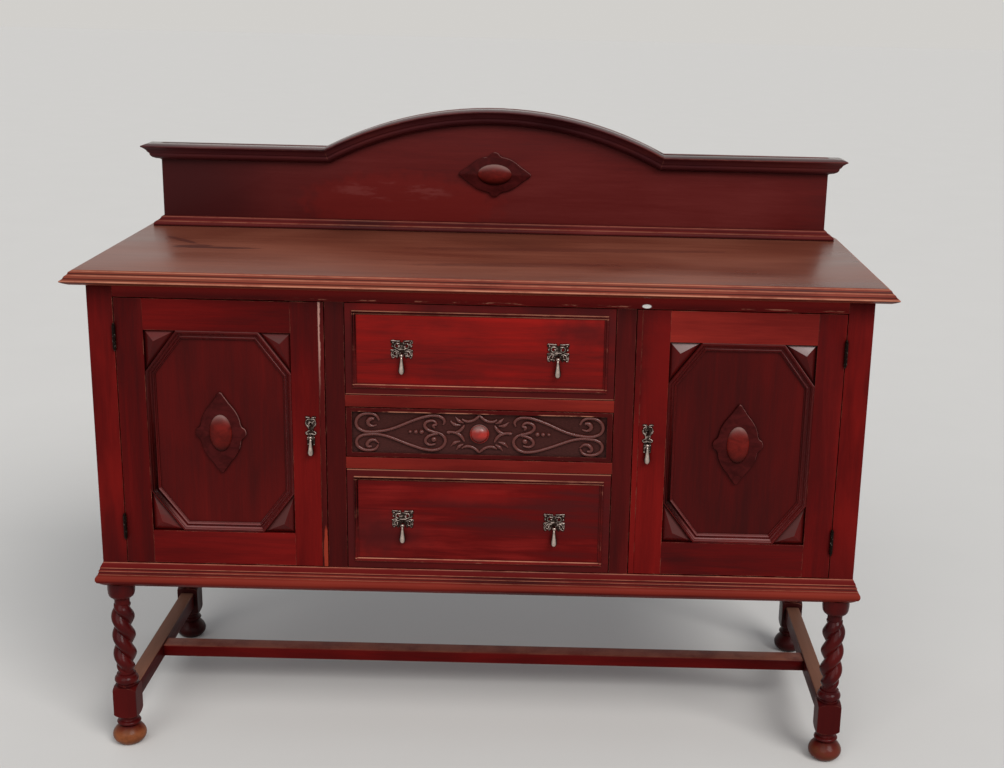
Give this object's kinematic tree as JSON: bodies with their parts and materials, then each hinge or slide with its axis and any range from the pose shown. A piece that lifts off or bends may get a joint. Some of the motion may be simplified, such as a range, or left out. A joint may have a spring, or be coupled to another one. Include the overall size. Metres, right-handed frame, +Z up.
{
  "type": "sideboard",
  "caption": "Sideboard with an arched backboard, panelled cupboard doors beside a bank of drawers, on twist-turned legs joined by stretchers.",
  "frame": {"origin": "on the floor under the middle of the whole object", "axes": "+X to the right seen from the front, -Y the front, +Z up"},
  "size_m": [1.524, 0.5923, 1.2349],
  "materials": {
    "mahogany": "glossy red-stained mahogany",
    "top_mahogany": "worn satin red-brown mahogany",
    "dark_mahogany": "glossy dark red-stained mahogany",
    "carved_mahogany": "worn red-brown carving",
    "polished_boss": "polished red",
    "plain_wood": "unpolished",
    "brass": "tarnished antique brass"
  },
  "bodies": {
    "carcase": {"top_board": "top_mahogany", "backboard": "mahogany", "backboard_cornice": "dark_mahogany", "backboard_strip": "dark_mahogany", "backboard_cartouche": "dark_mahogany", "top_rail": "mahogany", "bottom_rail": "mahogany", "front_stiles": "mahogany", "drawer_rails": "mahogany", "base_board": "plain_wood", "carcase_floor": "plain_wood", "back_panel": "plain_wood", "side_panels": "mahogany", "partitions": "plain_wood", "cupboard_shelves": "plain_wood", "runners_and_stops": "plain_wood", "base_moulding": "dark_mahogany", "front_left_leg": "mahogany", "front_right_leg": "mahogany", "rear_left_leg": "mahogany", "rear_right_leg": "mahogany", "side_stretchers": "mahogany", "long_stretcher": "mahogany", "frame_hinges": "brass"},
    "left_door": {"left_door_frame": "mahogany", "left_door_panel": "mahogany", "left_door_octagon": "dark_mahogany", "left_door_pyramids": "dark_mahogany", "left_door_cartouche": "dark_mahogany", "left_door_escutcheon": "brass", "left_door_hinge_leaves": "brass", "left_door_lock": "brass"},
    "left_door_bolt": {"left_door_bolt": "brass"},
    "left_door_drop": {"left_door_drop": "brass"},
    "right_door": {"right_door_frame": "mahogany", "right_door_panel": "mahogany", "right_door_octagon": "dark_mahogany", "right_door_pyramids": "dark_mahogany", "right_door_cartouche": "dark_mahogany", "right_door_escutcheon": "brass", "right_door_hinge_leaves": "brass", "right_door_lock": "brass"},
    "right_door_bolt": {"right_door_bolt": "brass"},
    "right_door_drop": {"right_door_drop": "brass"},
    "top_drawer": {"top_drawer_front": "mahogany", "top_drawer_box": "plain_wood", "top_drawer_bead": "mahogany", "top_drawer_plates": "brass"},
    "top_drawer_left_drop": {"top_drawer_left_drop": "brass"},
    "top_drawer_right_drop": {"top_drawer_right_drop": "brass"},
    "carved_drawer": {"carved_drawer_front": "mahogany", "carved_drawer_box": "plain_wood", "carved_drawer_scrolls": "carved_mahogany", "carved_drawer_boss": "polished_boss"},
    "bottom_drawer": {"bottom_drawer_front": "mahogany", "bottom_drawer_box": "plain_wood", "bottom_drawer_bead": "mahogany", "bottom_drawer_plates": "brass"},
    "bottom_drawer_left_drop": {"bottom_drawer_left_drop": "brass"},
    "bottom_drawer_right_drop": {"bottom_drawer_right_drop": "brass"}
  },
  "joints": [
    {"name": "left_door_hinge", "type": "hinge", "parent": "carcase", "child": "left_door", "pos_m": [-0.67725, -0.2639, 0.658], "axis": [0, 0, -1], "range_deg": [0, 110]},
    {"name": "left_door_bolt_slide", "type": "slide", "parent": "left_door", "child": "left_door_bolt", "axis": [1, 0, 0], "range_m": [0, 0.008]},
    {"name": "left_door_drop_pivot", "type": "hinge", "parent": "left_door", "child": "left_door_drop", "pos_m": [-0.317, -0.2691, 0.6598], "axis": [-1, 0, 0], "range_deg": [0, 80]},
    {"name": "right_door_hinge", "type": "hinge", "parent": "carcase", "child": "right_door", "pos_m": [0.67725, -0.2639, 0.658], "axis": [0, 0, 1], "range_deg": [0, 110]},
    {"name": "right_door_bolt_slide", "type": "slide", "parent": "right_door", "child": "right_door_bolt", "axis": [-1, 0, 0], "range_m": [0, 0.008]},
    {"name": "right_door_drop_pivot", "type": "hinge", "parent": "right_door", "child": "right_door_drop", "pos_m": [0.317, -0.2691, 0.6598], "axis": [-1, 0, 0], "range_deg": [0, 80]},
    {"name": "top_drawer_slide", "type": "slide", "parent": "carcase", "child": "top_drawer", "axis": [0, -1, 0], "range_m": [0, 0.38]},
    {"name": "top_drawer_left_drop_pivot", "type": "hinge", "parent": "top_drawer", "child": "top_drawer_left_drop", "pos_m": [-0.145, -0.2691, 0.82292], "axis": [-1, 0, 0], "range_deg": [0, 80]},
    {"name": "top_drawer_right_drop_pivot", "type": "hinge", "parent": "top_drawer", "child": "top_drawer_right_drop", "pos_m": [0.145, -0.2691, 0.82292], "axis": [-1, 0, 0], "range_deg": [0, 80]},
    {"name": "carved_drawer_slide", "type": "slide", "parent": "carcase", "child": "carved_drawer", "axis": [0, -1, 0], "range_m": [0, 0.38]},
    {"name": "bottom_drawer_slide", "type": "slide", "parent": "carcase", "child": "bottom_drawer", "axis": [0, -1, 0], "range_m": [0, 0.38]},
    {"name": "bottom_drawer_left_drop_pivot", "type": "hinge", "parent": "bottom_drawer", "child": "bottom_drawer_left_drop", "pos_m": [-0.145, -0.2691, 0.48842], "axis": [-1, 0, 0], "range_deg": [0, 80]},
    {"name": "bottom_drawer_right_drop_pivot", "type": "hinge", "parent": "bottom_drawer", "child": "bottom_drawer_right_drop", "pos_m": [0.145, -0.2691, 0.48842], "axis": [-1, 0, 0], "range_deg": [0, 80]}
  ]
}
